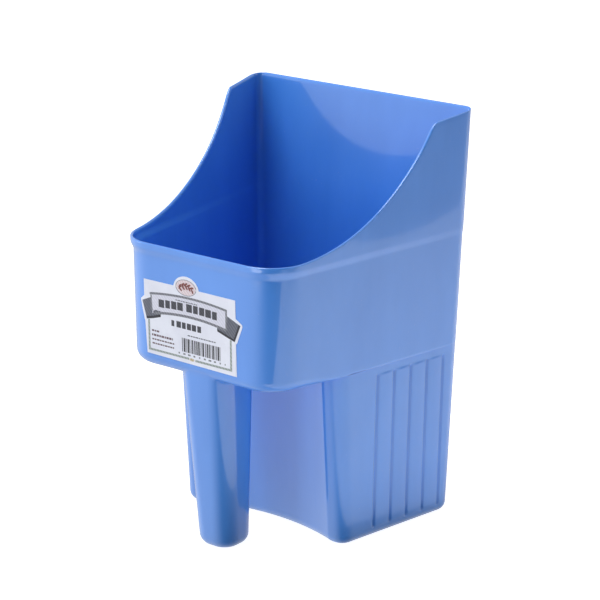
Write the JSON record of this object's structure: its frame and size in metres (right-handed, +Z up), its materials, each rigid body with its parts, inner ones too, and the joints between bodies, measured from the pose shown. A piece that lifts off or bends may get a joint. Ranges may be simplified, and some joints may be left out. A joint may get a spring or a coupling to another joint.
{
  "type": "feed scoop",
  "caption": "Open-fronted tub over a narrower grooved well, with a hollow grip under the front, moulded in glossy blue plastic, with a paper label.",
  "frame": {"origin": "on the floor plane, under the middle of the bounding box", "axes": "+Z up; the label and the handle face -Y, the tall back wall is at +Y, and +X is on the right when the label faces the viewer"},
  "size_m": [0.1702, 0.1652, 0.26],
  "materials": {
    "moulding": "glossy injection-moulded polypropylene, periwinkle blue",
    "label": "coated white paper sticker with grey printing"
  },
  "bodies": {
    "root": {"hopper": "moulding", "well": "moulding", "handle": "moulding", "front_label": "label"}
  },
  "joints": []
}
